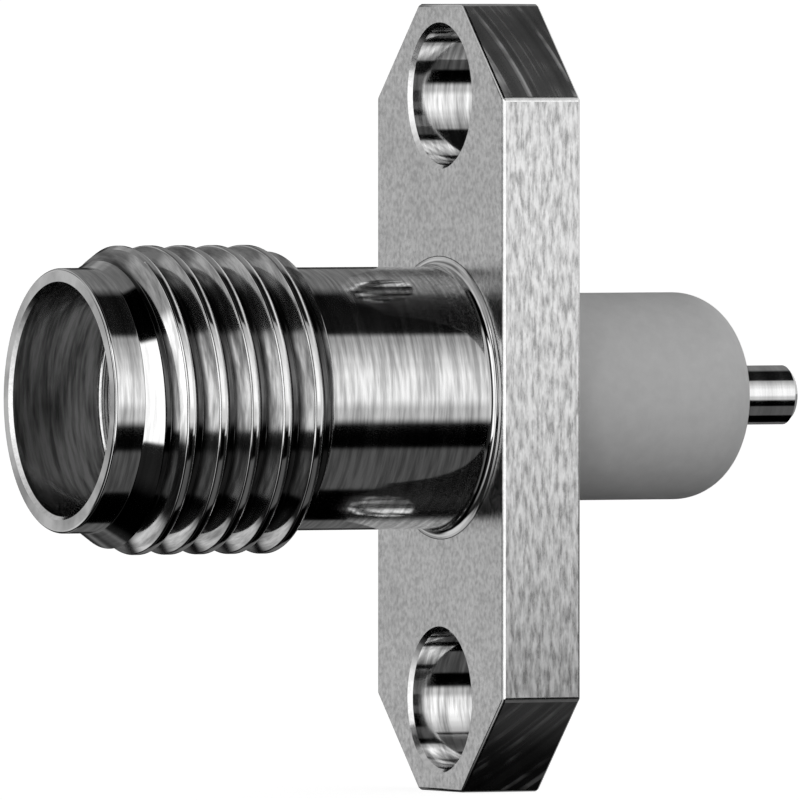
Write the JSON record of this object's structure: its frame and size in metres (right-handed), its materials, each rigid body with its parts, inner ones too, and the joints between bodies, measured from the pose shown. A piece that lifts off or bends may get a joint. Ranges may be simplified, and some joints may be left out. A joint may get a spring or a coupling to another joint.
{
  "type": "sma jack with two-hole flange",
  "caption": "Threaded coaxial jack on an oblong two-hole panel flange, with an extended round-ended insulator and a solder pin behind it.",
  "frame": {"origin": "on the connector's axis, in the flange's rear face, which seats on the panel, halfway between the two screw holes", "axes": "-Y towards the threaded mouth, +Y towards the solder pin, +Z along the flange's long side, +X across the flange"},
  "size_m": [0.0062, 0.0164, 0.016],
  "materials": {
    "body_metal": "turned and milled, bright with fine tool marks",
    "insulator": "matt, slightly waxy",
    "contact_metal": "smooth bright plating"
  },
  "bodies": {
    "root": {"body": "body_metal", "insulator": "insulator", "centre_contact": "contact_metal"}
  },
  "joints": []
}
